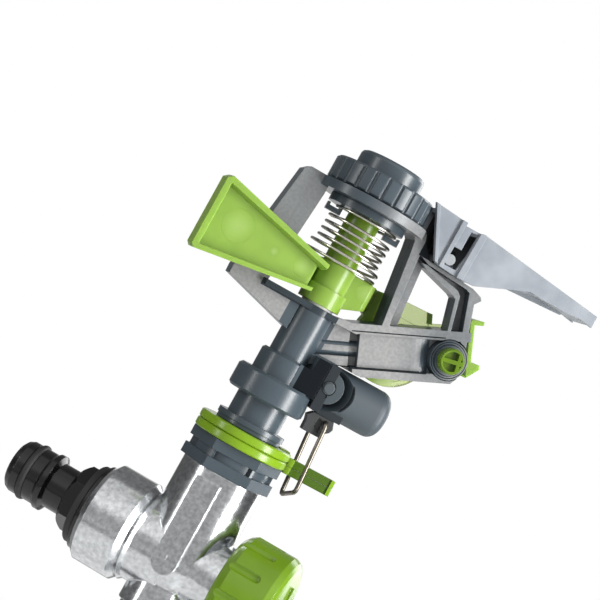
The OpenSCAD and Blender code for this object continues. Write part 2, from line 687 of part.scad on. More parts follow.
// The spring descends anticlockwise from above: one flat turn under the holder ring, a hop past
// the holder's finger, open turns, a closing turn and a flat end that rests on the arm.
spring_top = z_ring - 0.75;
spring_low = z_hub_top - 0.1 + 0.9 * spring_wire + 0.02;
spring_start = 190;
spring_hop = 2.6;
open_turns = 4.3;
flat_deg = 222;
hop_end = 310;
flare = 1.1;
open_end = hop_end + 360 * open_turns;
close_end = open_end + 350;
spring_end = close_end + 150;
hop_low = spring_top - spring_hop;
open_low = hop_low - open_turns * spring_pitch;
spring_heights = [[0, spring_top], [flat_deg, spring_top], [hop_end, hop_low], [open_end, open_low],
                  [close_end, spring_low], [spring_end, spring_low]];
// the last turns lie wider than the rest
spring_flare = [[0, 0], [open_end - 260, 0], [open_end - 60, flare], [spring_end, flare]];
function turn_r(a) = spring_r + lookup(a, spring_flare);
function spring_point(a) = [0.35 * (1 - a / spring_end) + turn_r(a) * cos(a + spring_start),
                            turn_r(a) * sin(a + spring_start), lookup(a, spring_heights)];
rings_per_turn = 8;
spring_steps = round(spring_end / 360 * rings_per_turn);
spring_path = [for (i = [0:spring_steps]) spring_point(i * spring_end / spring_steps)];
spring_gap = min([for (a = [0:15:spring_end]) for (b = [a + 300:5:min(a + 420, spring_end)])
  norm(spring_point(a) - spring_point(b))]) - 2 * spring_wire;
echo(spring_least_gap = spring_gap);

// one unbroken tube along a path that never runs along the side vector
module tube(path, r, sides, side) {
  n = len(path);
  dirs = [for (i = [0:n - 1]) let (d = path[min(i + 1, n - 1)] - path[max(i - 1, 0)]) d / norm(d)];
  rings = [for (i = [0:n - 1]) let (s = cross(dirs[i], side), u = s / norm(s), v = cross(u, dirs[i]))
    for (k = [0:sides - 1]) path[i] + r * (cos(k * 360 / sides) * u + sin(k * 360 / sides) * v)];
  walls = [for (i = [0:n - 2]) for (k = [0:sides - 1])
    let (m = (k + 1) % sides, a = i * sides, b = a + sides)
      each [[a + k, b + k, b + m], [a + k, b + m, a + m]]];
  first = [for (k = [1:sides - 2]) [0, k, k + 1]];
  last = [for (k = [1:sides - 2]) let (a = (n - 1) * sides) [a, a + k + 1, a + k]];
  polyhedron(points = rings, faces = concat(walls, first, last), convexity = 20);
}

module arm_spring() {
  color([0.78, 0.76, 0.68]) tube(spring_path, spring_wire, 6, [0, 0, 1]);
}

// impact arm

paddle_back = 4.2;
arm_back = 7.3;
arm_t = 1.9;
rim_t = 1.8;
pad_hi = z_sill + 11.5;
pad_lo = z_sill + 2.7;
end_hi = z_sill + 19.6;
end_lo = z_sill - 2.6;

module paddle_outline() {
  polygon([[-5.6, pad_hi], [-paddle_reach + 1.4, end_hi], [-paddle_reach, end_hi - 1.1],
           [-paddle_reach, end_lo + 1.0], [-paddle_reach + 0.9, end_lo], [-6.8, pad_lo]]);
}

module tray_outline(drop = 0.7) {
  polygon([[-4, pad_hi - rim_t - drop + 0.1], [-paddle_reach + rim_t, end_hi - rim_t - drop - 0.1],
           [-paddle_reach + rim_t, end_lo + rim_t - 0.1], [-4, pad_lo + rim_t - 0.3]]);
}

// the space between the rails that the paddle's floor leaves free in front of the hub
module paddle_end_outline() {
  difference() {
    tray_outline();
    translate([-60, z_sill - 10]) square([50.2, 50]);
    translate([-15.2, z_sill + 7.0]) circle(r = 7.5);
  }
}

module paddle() {
  front = paddle_back + paddle_depth;
  rotate([0, 0, paddle_yaw]) {
    difference() {
      slab(-front, -paddle_back) paddle_outline();
      hull() {
        slab(-front - 1, -front) tray_outline(0);
        slab(-front + 3, -front + 3.1) tray_outline();
      }
      slab(-front + 4.5, -paddle_back + 1) tray_outline();
      slab(-front - 1, -paddle_back + 1) paddle_end_outline();
    }
    translate([0, 0, pad_lo + 0.6]) linear_extrude(pad_hi - pad_lo - 1.6)
      polygon([[-10.8, -front + 4.1], [-10.8, -front + 5.4], [-8.6, -3.0], [-7.0, 1.6], [-3, 3],
               [-3, 0.3], [-5.3, 0.3], [-7.4, -front + 4.1]]);
  }
}

// right-hand part: a panel beside the hub, a bend past the post, and the plate behind the frame
module arm_bend() {
  translate([0, 0, z_sill + 2.2]) linear_extrude(10.4)
    polygon([[2, -2.4], [10.9, -2.4], [12.2, -1.6], [15.2, arm_back], [15.2, arm_back + arm_t],
             [13.2, arm_back + arm_t], [10.4, -0.4], [2, -0.4]]);
}

module arm_bend_cut() {
  slab(-6, 12) polygon([[4, z_sill - 1], [5.4, z_sill + 2.4], [16, z_sill + 6.6], [16, z_sill - 1]]);
}

module back_plate_outline() {
  difference() {
    union() {
      polygon([[13.2, z_sill + 12.5], [25, z_sill + 14.1], [32.2, z_sill + 14.5], [34.2, z_sill + 10.5],
               [36, z_sill + 6], [20, z_sill + 1], [13.2, z_sill + 6]]);
      translate([26.95, z_sill + 1.25]) circle(r = 12.3);
    }
    translate([10, z_sill + 11.2]) polygon([[23.9, 0], [40, 0], [40, 10], [20, 10], [22.2, 3.3]]);
  }
}

module back_plate_core() {
  difference() {
    translate([26.95, z_sill + 1.25]) circle(r = 10.9);
    translate([10, z_sill + 9.4]) square([40, 10]);
  }
}

// distance of the spoon's inner face along the jet
spoon_t = 49.9;
spoon_wall = 1.3;
module spoon() {
  slab(-1.6, arm_back + arm_t) jet2() polygon([[spoon_t, 10.4], [spoon_t, -3.4], [spoon_t + 0.1, -5.9],
    [spoon_t + 1.9, -4.7], [spoon_t + 3.9, -3.3], [spoon_t + 3.9, -2.0], [spoon_t + spoon_wall, -1.4],
    [spoon_t + spoon_wall, 9.4], [spoon_t + 4.0, 9.4], [spoon_t + 4.1, 10.5], [spoon_t + 0.5, 11.0]]);
}

module impact_arm() {
  hub_r = 6.4;
  color([0.60, 0.74, 0.30]) difference() {
    union() {
      translate([0, 0, z_hub_low]) cylinder(r = hub_r, h = z_hub_step - z_hub_low);
      translate([0, 0, z_hub_step - 0.1]) cylinder(r = 5.5, h = z_hub_top - z_hub_step + 0.1);
      translate([0, 0, z_hub_top - 0.1]) cylinder(r = post_r, h = z_ring - 0.4 - z_hub_top + 0.1);
      translate([0, 0, z_hub_top - 1.6]) difference() {
        cylinder(r = spring_r + flare + 0.4, h = 1.5);
        translate([-20, -21, -1]) cube([40, 20, 4]);
      }
      paddle();
      difference() {
        arm_bend();
        arm_bend_cut();
      }
      slab(arm_back, arm_back + arm_t) back_plate_outline();
      slab(arm_back + arm_t - 0.1, arm_back + 3.4) difference() {
        back_plate_outline();
        back_plate_core();
      }
      slab(arm_back - 2.6, arm_back + 0.1)
        polygon([[31.2, z_sill + 14.4], [32.2, z_sill + 14.5], [33.5, z_sill + 11.8],
                 [32.6, z_sill + 11.5]]);
      slab(arm_back - 1.55, arm_back + 0.1) translate([27, flange_z(27, 5.9)]) circle(r = 1.6);
      slab(arm_back, arm_back + arm_t) jet2()
        polygon([[36, 4.2], [36, 8.2], [spoon_t + 1, 8.2], [spoon_t + 1, 4.2]]);
      spoon();
    }
    translate([0, 0, z_hub_low - 1]) cylinder(r = axle_r + run_gap, h = 40);
  }
}

// deflector flap

module cheek_outline() {
  polygon([[13.7, z_crown + 1.1], [22.9, z_crown + 0.5], [24.4, z_crown + 0.5], [24.5, z_crown - 0.5],
           [29.0, z_crown - 0.4], [30.5, z_crown], [71.5, z_crown - 4.1], [71.5, z_ring + 4.6],
           [67.5, z_ring + 5.2], [63, z_ring + 4.7], [54, z_ring + 4.6], [50.2, z_ring + 4.8],
           [44.6, z_ring + 2.4], [34.9, z_ring - 1.8], [29.9, z_ring - 2.1], [22.9, z_ring - 1.7],
           [21.2, z_ring - 1.1]]);
}

module cheek_window() {
  polygon([[flap_pin_x - 1.75, z_ring - 0.5], [flap_pin_x - 1.7, z_ring + 5.2], [26.7, z_ring + 5.2],
           [26.7, z_ring + 11.0], [29.1, z_ring + 11.2], [28.9, z_ring + 4.5], [28.0, z_ring - 0.5]]);
}

module deflector_flap() {
  inner = cheek_y - cheek_t;
  color([0.62, 0.65, 0.68]) difference() {
    union() {
      for (s = [-1, 1]) {
        slab(min(s * cheek_y, s * inner), max(s * cheek_y, s * inner)) difference() {
          cheek_outline();
          if (s < 0) cheek_window();
        }
        slab(s * (cheek_y + 0.35) - 0.4, s * (cheek_y + 0.35) + 0.4) {
          polygon([[13.7, z_crown + 1.1], [14.9, z_crown + 1.0], [22.3, z_ring - 1.4], [21.2, z_ring - 1.1]]);
          polygon([[22.9, z_crown + 0.5], [24.4, z_crown + 0.5], [24.0, z_ring - 1.8], [22.9, z_ring - 1.7]]);
          polygon([[29.3, z_crown - 0.4], [30.7, z_crown], [31.3, z_crown - 0.2], [31.0, z_ring - 2.0],
                   [29.0, z_ring - 2.1]]);
        }
      }
      slab(4.5, 7.3) difference() {
        polygon([[flap_pin_x - 3.0, z_flap_pin - 1.0], [flap_pin_x - 3.2, z_flap_pin + 2.6],
                 [flap_pin_x - 4.4, z_crown - 0.2], [flap_pin_x + 6, z_crown - 0.7],
                 [flap_pin_x + 3.2, z_flap_pin + 3.2], [flap_pin_x + 3.0, z_flap_pin - 1.0],
                 [flap_pin_x + 1.6, z_flap_pin - 2.55], [flap_pin_x - 1.6, z_flap_pin - 2.55]]);
        translate([flap_pin_x, z_flap_pin]) circle(r = flap_pin_r + 0.02);
      }
      slab(-inner - 0.1, inner + 0.1) {
        polygon([[17.6, z_crown + 0.85], [22.9, z_crown + 0.5], [22.9, z_crown - 0.8], [17.9, z_crown - 0.5]]);
        polygon([[30.5, z_crown - 0.1], [71.4, z_crown - 4.2], [71.4, z_crown - 5.5], [30.5, z_crown - 1.4]]);
        polygon([[52, z_ring + 7.4], [71.4, z_ring + 6.2], [71.4, z_ring + 5.0], [56, z_ring + 5.4],
                 [47.5, z_ring + 3.7], [46.2, z_ring + 3.2], [47.5, z_ring + 5.6]]);
      }
      slab(cheek_y - cheek_t, cheek_y) polygon([[44, z_ring + 3.2], [49, z_ring + 3.4], [66.8, z_ring + 4.7],
        [67.6, z_ring + 5.6], [50, z_ring + 6]]);
    }
  }
}

module flap_pin() {
  color([0.60, 0.62, 0.64]) slab(-cheek_y + 0.3, cheek_y - cheek_t - 0.05)
    translate([flap_pin_x, z_flap_pin]) circle(r = flap_pin_r);
}

// diffuser screw

module diffuser_screw() {
  head_face = 6.6;
  head_end = 9.8;
  head_r = 3.75;
  grip_turn = 12;
  color([0.52, 0.68, 0.10]) difference() {
    union() {
      slab(-head_end, -head_face) jet2() translate([boss_t, -0.8]) circle(r = head_r - 0.3);
      slab(-head_end + 0.6, -head_face) jet2() translate([boss_t, -0.8]) circle(r = head_r);
      slab(-head_face - 0.1, -2.1) jet2() translate([boss_t, -0.8]) circle(r = 2.2);
      slab(-2.2, 0.4) jet2() translate([boss_t, -0.8]) circle(r = 0.9);
    }
    slab(-head_end - 1, -head_end + 1.5) jet2() translate([boss_t, -0.8]) rotate(grip_turn - jet_angle)
      difference() {
        circle(r = head_r - 0.9);
        square([2 * head_r, 1.2], center = true);
        translate([head_r / 2, 0]) square([1.0, 2 * head_r], center = true);
      }
  }
}

module diffuser_o_ring() {
  ring_y = 5.95;
  color([0.06, 0.06, 0.06]) jet() translate([boss_t, -ring_y, -0.8]) rotate([90, 0, 0])
    rotate_extrude() translate([2.55, 0]) square([0.6, 1.0], center = true);
}

// trip gear

foot_z = z_drum - drum_r - 0.3;
pin_z = z_drum + 0.4;
recess_floor = -2.0;

// the half of the front that lies past the rocker's plate
module past_plate() {
  difference() {
    children();
    translate([0, z_drum - 20]) square([drum_start, 40]);
  }
}

module trip_rocker() {
  round_r = 3.5;
  steps = 7;
  plate_x = 10.8;
  plate_y = 6.4;
  end_arc = [for (i = [0:steps]) [drum_r + round_r * (cos(i * 90 / steps) - 1),
                                  drum_end + round_r * (sin(i * 90 / steps) - 1)]];
  color([0.24, 0.27, 0.29]) difference() {
    union() {
      translate([0, 0, z_drum]) rotate([0, 90, 0]) rotate_extrude()
        polygon(concat([[0, drum_start - 0.1], [drum_r, drum_start - 0.1]], end_arc, [[0, drum_end]]));
      translate([plate_x, -plate_y, z_drum - drum_r]) cube([3.0, 2 * plate_y, 2 * drum_r - 0.1]);
      translate([drum_start - 0.1, -4.9, foot_z]) cube([7.6, 11.9, 3]);
      translate([22, 4.6, z_drum + 2]) cube([8, 2.3, drum_r - 2.2]);
    }
    difference() {
      translate([pin_x, recess_floor, pin_z]) rotate([90, 0, 0]) cylinder(r1 = 5.5, r2 = 8.2, h = 6);
      translate([0, -20, z_drum - 20]) cube([drum_start, 40, 40]);
    }
    slab(-9, -5.6) past_plate() translate([pin_x, pin_z]) circle(r = 7.7);
    slab(-9, recess_floor + 0.15) translate([pin_x, pin_z]) circle(r = 1.92);
    translate([plate_x - 1, -4.9, z_drum + 4.7]) cube([4.0, 9.8, 5]);
    cylinder(r = skirt_r + 0.85, h = z_collet + 1.3);
    translate([5, 0, z_drum]) rotate([0, 90, 0]) cylinder(r = pivot_r + run_gap, h = 20);
    rod([17.0, wire_y, foot_z - 1], [17.0, wire_y, foot_z + 1.6], wire_r + 0.03);
  }
}

module trip_pivot_pin() {
  color([0.70, 0.70, 0.72]) translate([6.0, 0, z_drum]) rotate([0, 90, 0]) cylinder(r = pivot_r, h = 18.8);
}

module trip_latch_pin() {
  color([0.22, 0.26, 0.24]) {
    slab(-6.6, recess_floor + 0.05) translate([pin_x, pin_z]) circle(r = 1.85);
    slab(-7.0, -6.5) translate([pin_x, pin_z]) circle(r = 1.45);
  }
}

module trip_c_spring() {
  color([0.36, 0.38, 0.39]) slab(-5.3, recess_floor - 0.05) difference() {
    translate([pin_x, pin_z]) circle(r = 4.75);
    translate([pin_x, pin_z]) circle(r = 2.35);
    translate([0, z_drum - 20]) square([drum_start + 0.15, 40]);
  }
}

module trip_clip() {
  clip_front = -4.6;
  color([0.16, 0.15, 0.14]) difference() {
    slab(clip_front, -1.4) polygon([[13.2, foot_z - 0.02], [19.6, foot_z - 0.02], [20.4, foot_z - 2.2],
      [19.9, foot_z - 3.3], [18.4, foot_z - 4.5], [17.6, foot_z - 5.9], [12.3, foot_z - 5.9],
      [12.2, foot_z - 3.3], [11.7, foot_z - 1.4]]);
    slab(clip_front - 1, clip_front + 0.8) polygon([[15.2, foot_z - 0.9], [16.7, foot_z - 1.2],
      [16.9, foot_z - 5.1], [14.9, foot_z - 3.6]]);
    rod([17.6, -wire_y - 1, foot_z - 1.4], [17.6, -wire_y + 3.2, foot_z - 1.4], wire_r + 0.03);
  }
}

// the wire from the clip down the front, under the tabs and up the back into the rocker's foot
module trip_wire() {
  wire_path = [[17.6, -wire_y + 3.1, foot_z - 1.4], [17.6, -wire_y + 1.1, foot_z - 1.4],
               [17.6, -wire_y + 0.3, foot_z - 1.8], [17.7, -wire_y, foot_z - 2.6],
               [19.1, -wire_y, foot_z - 20.8], [19.2, -wire_y + 0.4, foot_z - 22.0],
               [19.1, -wire_y + 1.3, foot_z - 22.8], [18.9, wire_y - 1.5, foot_z - 25.2],
               [18.9, wire_y - 0.5, foot_z - 25.2], [18.8, wire_y, foot_z - 24.4],
               [17.1, wire_y, foot_z - 5.0], [17.0, wire_y, foot_z - 3.5], [17.0, wire_y, foot_z + 1.5]];
  color([0.62, 0.58, 0.50]) tube(wire_path, wire_r, 10, [1, 0, 0]);
}

// sector collars

module collar(z0, tab_z0, tab_z1) {
  inner = sleeve_r + 0.08;
  root = max(z0, tab_z0);
  clear = collar_r + seat_gap;
  difference() {
    union() {
      rotate_extrude() polygon([[inner, z0], [collar_r - 0.35, z0], [collar_r, z0 + 0.35],
        [collar_r, z0 + collar_h - 0.35], [collar_r - 0.35, z0 + collar_h], [inner, z0 + collar_h]]);
      translate([collar_r - 0.9, -1.7, root]) cube([2.7, 3.4, tab_z1 - root]);
      translate([clear, -1.7, tab_z0]) cube([collar_r + 1.8 - clear, 3.4, tab_z1 - tab_z0]);
      translate([clear, -1.1, tab_z0]) cube([tab_reach - clear, 2.2, tab_z1 - tab_z0]);
      translate([tab_reach - 1.2, -1.5, tab_z0]) cube([1.2, 3.0, tab_z1 - tab_z0]);
    }
    translate([0, 0, z0 - 5]) cylinder(r = inner, h = collar_h + 10);
  }
}

module sector_collar_lower() {
  color([0.56, 0.70, 0.18])
    collar(z_collar_low, z_collar_low - 0.6, z_collar_low + collar_h - 0.8);
}

module sector_collar_upper() {
  color([0.58, 0.72, 0.20]) {
    collar(z_collar_up, z_collar_low + collar_h - 0.8 + seat_gap, z_collar_up + collar_h - 0.9);
    translate([flange_r + 0.35, -1, z_collar_up + collar_h - 0.1]) cube([3.1, 6, 0.45]);
  }
}

tee_body();
ground_spike();
hose_connector();
connector_washer();
connector_o_ring();
outlet_cap();
outlet_cap_seal();
bearing_body();
bearing_seal();
spindle();
spindle_washer();
sand_seal();
head_frame();
nozzle_tip();
arm_axle();
axle_screw();
thrust_washer();
impact_arm();
arm_spring();
spring_holder();
tension_knob();
knob_crown();
deflector_flap();
flap_pin();
diffuser_screw();
diffuser_o_ring();
trip_rocker();
trip_pivot_pin();
trip_c_spring();
trip_latch_pin();
trip_clip();
trip_wire();
sector_collar_lower();
sector_collar_upper();
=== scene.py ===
# %% [markdown]
# # Garden impact sprinkler
# Looks for a lawn impact sprinkler: a slate plastic head with a lime green arm on a polished cast
# tee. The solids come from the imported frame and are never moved. This notebook gives them their
# materials, puts round wire in place of two faceted pieces and sets the photograph's view.

# %% Tools and frame
import json
import math

import bpy
from mathutils import Matrix, Vector


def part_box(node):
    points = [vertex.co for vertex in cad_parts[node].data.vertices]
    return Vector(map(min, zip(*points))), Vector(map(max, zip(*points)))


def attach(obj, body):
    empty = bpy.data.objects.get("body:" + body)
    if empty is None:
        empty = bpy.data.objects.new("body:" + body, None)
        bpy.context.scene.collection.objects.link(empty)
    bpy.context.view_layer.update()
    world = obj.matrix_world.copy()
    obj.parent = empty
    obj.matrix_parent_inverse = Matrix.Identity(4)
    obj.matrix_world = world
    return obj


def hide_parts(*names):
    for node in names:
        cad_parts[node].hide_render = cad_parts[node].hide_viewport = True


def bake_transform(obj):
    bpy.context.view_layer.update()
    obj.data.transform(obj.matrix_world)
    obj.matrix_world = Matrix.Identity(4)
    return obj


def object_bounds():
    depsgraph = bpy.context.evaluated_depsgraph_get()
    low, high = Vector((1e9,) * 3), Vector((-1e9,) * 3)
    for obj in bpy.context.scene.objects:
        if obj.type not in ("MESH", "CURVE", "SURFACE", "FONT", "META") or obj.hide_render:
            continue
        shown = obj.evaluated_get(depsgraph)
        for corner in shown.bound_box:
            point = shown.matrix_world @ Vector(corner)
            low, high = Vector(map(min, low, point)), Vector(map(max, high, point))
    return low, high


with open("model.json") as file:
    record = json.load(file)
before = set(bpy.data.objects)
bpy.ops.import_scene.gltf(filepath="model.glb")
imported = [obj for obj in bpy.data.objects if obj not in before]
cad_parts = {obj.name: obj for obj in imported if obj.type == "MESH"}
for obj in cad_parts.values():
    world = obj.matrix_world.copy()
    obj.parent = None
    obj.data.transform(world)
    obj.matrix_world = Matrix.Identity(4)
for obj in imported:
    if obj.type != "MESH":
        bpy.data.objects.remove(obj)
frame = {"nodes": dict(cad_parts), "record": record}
cad_low, cad_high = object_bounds()
nodes = frame["nodes"]
MM = 0.001
print("CAD nodes:", len(nodes))

# %% [markdown]
# ## Colours and nodes
# Colours are written as they look on screen, so they can be compared with a picture, and one
# function turns them to the linear light that Blender works in. Every node of every material is
# made by one other function: it makes the node, sets it up, joins its inputs and gives back one
# of its outputs. An input is a number, a colour or another node's output. Two kinds come often.
# MapRange turns one range into another, and its inputs are the value, where the first range starts
# and ends, and what these become. MULTIPLY_ADD multiplies its first two inputs and adds the third.

# %% Colour and node tools
MIX_RESULT = 2


def linear(code):
    parts = [int(code[i:i + 2], 16) / 255 for i in (1, 3, 5)]
    return tuple(c / 12.92 if c < 0.04045 else ((c + 0.055) / 1.055) ** 2.4 for c in parts) + (1.0,)


def add(tree, kind, inputs=(), out=0, **settings):
    """Inputs are in order, or a dict by name or number. With out=None the node itself comes back."""
    node = tree.nodes.new("ShaderNode" + kind)
    for setting, value in settings.items():
        setattr(node, setting, value)
    pairs = inputs.items() if isinstance(inputs, dict) else enumerate(inputs)
    for key, value in pairs:
        if isinstance(value, bpy.types.NodeSocket):
            tree.links.new(value, node.inputs[key])
        else:
            node.inputs[key].default_value = value
    return node if out is None else node.outputs[out]


def layers(mask, under, over):
    """The inputs of a colour mix: where the mask is 1, the second colour covers the first."""
    return {0: mask, 6: under, 7: over}


def new_material(name):
    """An empty material, its tree, and the output that gives each point's place on the object."""
    material = bpy.data.materials.new(name)
    material.use_nodes = True
    tree = material.node_tree
    tree.nodes.clear()
    return material, tree, add(tree, "TexCoord", out="Object")


print("colour and node tools ready")

# %% [markdown]
# ## Edges, grain and mould seams
# A moulded or cast edge is never sharp: it has a radius of a few tenths of a millimetre that
# catches the light. The solids have sharp edges, so the shading rounds them with a bevel node, and
# a bump node lays the grain on top. Grain is noise at a real size in millimetres. A seam is the
# fine raised line where two mould halves met. It runs down a round part at one angle about the
# sprinkler's axis.

# %% Edges, grain and seams
def grains(point, size_mm, detail=3.0):
    """The inputs of a noise whose grains have a real size."""
    return {"Vector": point, "Scale": 1 / (size_mm * MM), "Detail": detail}


def seam_line(tree, point, degrees, width_mm=0.35, least_radius_mm=4.0):
    turn = math.radians(degrees)
    outward = (math.cos(turn), math.sin(turn), 0.0)
    sideways = (-math.sin(turn), math.cos(turn), 0.0)
    along = add(tree, "VectorMath", (point, outward), "Value", operation="DOT_PRODUCT")
    aside = add(tree, "VectorMath", (point, sideways), "Value", operation="DOT_PRODUCT")
    off = add(tree, "Math", (aside,), operation="ABSOLUTE")
    near = add(tree, "Math", (off, width_mm * MM / 2), operation="LESS_THAN")
    outside = add(tree, "Math", (along, least_radius_mm * MM), operation="GREATER_THAN")
    return add(tree, "Math", (near, outside), operation="MULTIPLY")


def surface_normal(tree, height, edge_mm, depth_mm):
    edge = add(tree, "Bevel", {"Radius": edge_mm * MM}, samples=4)
    return add(tree, "Bump", {"Height": height, "Distance": depth_mm * MM, "Strength": 1.0, "Normal": edge})


def close_material(tree, inputs):
    shader = add(tree, "BsdfPrincipled", inputs)
    add(tree, "OutputMaterial", {"Surface": shader}, out=None)


print("surface tools ready")

# %% [markdown]
# ## Masks
# Some looks hold on a part of one piece only, such as the painted sheen on the frame's flat sides. Such a
# place is a mask: 1 inside and 0 outside, worked out from the point's place on the object. It could be
# painted in a picture, but then it would be as coarse as the picture, and would have to be painted
# again whenever the piece changed. Limits are in millimetres.

# %% Masks
def between(tree, value, low, high):
    above = add(tree, "Math", (value, low * MM), operation="GREATER_THAN")
    below = add(tree, "Math", (value, high * MM), operation="LESS_THAN")
    return add(tree, "Math", (above, below), operation="MULTIPLY")


def overlap(tree, *masks):
    found = masks[0]
    for mask in masks[1:]:
        found = add(tree, "Math", (found, mask), operation="MULTIPLY")
    return found


def strongest(tree, *masks):
    found = masks[0]
    for mask in masks[1:]:
        found = add(tree, "Math", (found, mask), operation="MAXIMUM")
    return found


def without(tree, mask, *holes):
    for hole in holes:
        rest = add(tree, "Math", (1.0, hole), operation="SUBTRACT")
        mask = add(tree, "Math", (mask, rest), operation="MULTIPLY")
    return mask


def zone(tree, xyz, x=None, y=None, z=None):
    """The inside of a box. A side that isn't given has no limit."""
    sides = [between(tree, value, *limits) for value, limits in zip(xyz, (x, y, z)) if limits]
    return overlap(tree, *sides)


def distance_across(tree, point, centre):
    """How far a point is from the line through centre that runs from front to back."""
    way = add(tree, "VectorMath", (point, centre), operation="SUBTRACT")
    level_way = add(tree, "VectorMath", (way, (1, 0, 1)), operation="MULTIPLY")
    return add(tree, "VectorMath", (level_way,), "Value", operation="LENGTH")


print("mask tools ready")

# %% [markdown]
# ## Slate nylon
# The head is glass-filled nylon in a dark slate colour, moulded. The glass leaves a fine grain and
# a satin gloss. Flat sides get a painted sheen, pale and streaky, and corners and grooves get painted
# shade, almost black. So the material has one tone for round parts, and masks mix in the painted
# sheen and the painted shade where a piece has them. The painted shade is also less glossy.

# %% Slate nylon
NYLON_IOR = 1.53
MIDDLE_GLOSS = 0.5


def slate_nylon(name, colour="#39434A", roughness=0.29, seam=None, masks=None):
    material, tree, point = new_material(name)
    # Fine grain from the glass, and slow clouds of a paler slate.
    grain = add(tree, "TexNoise", grains(point, 0.35))
    slow = add(tree, "TexNoise", grains(point, 6.0))
    cloud = add(tree, "Math", (slow, 0.35), operation="MULTIPLY")
    tone = add(tree, "Mix", layers(cloud, linear(colour), linear("#465157")), MIX_RESULT, data_type="RGBA")
    rough = add(tree, "Math", (grain, 0.08, roughness - 0.04), operation="MULTIPLY_ADD")
    height = add(tree, "Math", (grain, 0.35), operation="MULTIPLY")
    gloss = MIDDLE_GLOSS
    if masks:
        painted_sheen, dark = masks(tree, point)
        if painted_sheen is not None:
            # Painted sheen on the flat sides, streaked with a darker grey; these sides are also rougher.
            streaky = add(tree, "TexNoise", grains(point, 0.9, 5.0))
            streaks = add(tree, "MapRange", (streaky, 0.38, 0.62, 0.0, 0.55))
            greys = layers(streaks, linear("#848483"), linear("#6B6B6C"))
            pale = add(tree, "Mix", greys, MIX_RESULT, data_type="RGBA")
            tone = add(tree, "Mix", layers(painted_sheen, tone, pale), MIX_RESULT, data_type="RGBA")
            rough = add(tree, "Math", (painted_sheen, 0.2, rough), operation="MULTIPLY_ADD")
        # Painted shade covers the rest, and there the surface loses most of its gloss.
        tone = add(tree, "Mix", layers(dark, tone, linear("#0E1216")), MIX_RESULT, data_type="RGBA")
        gloss = add(tree, "Math", (dark, -0.38, MIDDLE_GLOSS), operation="MULTIPLY_ADD")
    if seam is not None:
        height = add(tree, "Math", (seam_line(tree, point, seam), 3.0, height), operation="MULTIPLY_ADD")
    close_material(tree, {"Base Color": tone, "Roughness": rough, "IOR": NYLON_IOR,
                          "Specular IOR Level": gloss,
                          "Normal": surface_normal(tree, height, edge_mm=0.3, depth_mm=0.02)})
    return material


print("slate nylon ready")

# %% [markdown]
# ## The frame's painted sheen and painted shade
# The frame is one moulding: strap, stem, sill, disc, post, bracket and nozzle channel. Only its
# flat sides get the pale painted sheen, and only where they are strap or channel. The round parts keep
# the middle tone, so they are cut out of the sheen mask. The dark mask is painted shade over what lies
# in shade: bracket, hinge seat, the corner under the disc, the sill at half strength, the two grooves
# beside the channel's flanges and the fine rings round the nozzle's boss. These grooves and rings are
# too fine for solids, so their shade is painted here.

# %% Frame masks
BOSS = Vector((39.88, 0.0, 133.58)) * MM
BOSS_RADIUS = 5.9
BOSS_RINGS = (4.35, 5.05, 5.75)
RING_WIDTH = 0.25
JET_ROOT = Vector((0.0, 0.0, 116.7)) * MM
JET_RISE = math.radians(24)
LOW_GROOVE = (-5.3, -4.75)
TOP_GROOVE = (5.25, 5.6)
FACES_SIDE = 0.96


def facing_side(tree):
    """1 where the surface looks straight to the front or the back."""
    normal = add(tree, "TexCoord", out="Normal")
    sideways = add(tree, "SeparateXYZ", (normal,), "Y")
    straight = add(tree, "Math", (sideways,), operation="ABSOLUTE")
    return add(tree, "Math", (straight, FACES_SIDE), operation="GREATER_THAN")


def painted_sheen_sides(tree, xyz, facing, from_boss):
    stem = zone(tree, xyz, x=(-8.2, 6.6), z=(0, 126.6))
    bracket = zone(tree, xyz, x=(6.6, 30), z=(0, 117.2))
    sill = zone(tree, xyz, x=(-18, 6), z=(126.6, 128.8))
    corner = zone(tree, xyz, x=(17.2, 22.5), z=(155.3, 170))
    hinge = zone(tree, xyz, x=(19, 34), y=(-5, 5), z=(157.6, 170))
    # The boss keeps the middle tone on its near side, and the painted sheen covers it towards the jet's
    # mouth.
    boss = add(tree, "Math", (from_boss, BOSS_RADIUS * MM), operation="LESS_THAN")
    boss = overlap(tree, boss, add(tree, "MapRange", (xyz[0], 38 * MM, 43 * MM, 1.0, 0.1)))
    # The painted sheen fades out near the boss, where painted shade falls, and weakens higher up.
    near_boss = add(tree, "MapRange", (from_boss, 8 * MM, 17 * MM, 0.4, 0.0))
    upwards = add(tree, "MapRange", (xyz[2], 134 * MM, 143 * MM, 1.0, 0.6))
    round_parts = strongest(tree, stem, bracket)
    painted_sheen = overlap(tree, without(tree, facing, round_parts, sill, corner, hinge, boss, near_boss), upwards)
    # The disc's rim is round, and gets a painted sheen that grows paler towards the nozzle.
    rim = zone(tree, xyz, x=(-16.8, 17.2), z=(159.0, 162.0))
    paler = add(tree, "MapRange", (xyz[0], -6 * MM, 9 * MM, 0.0, 0.7))
    return add(tree, "Math", (rim, paler, without(tree, painted_sheen, rim)), operation="MULTIPLY_ADD")


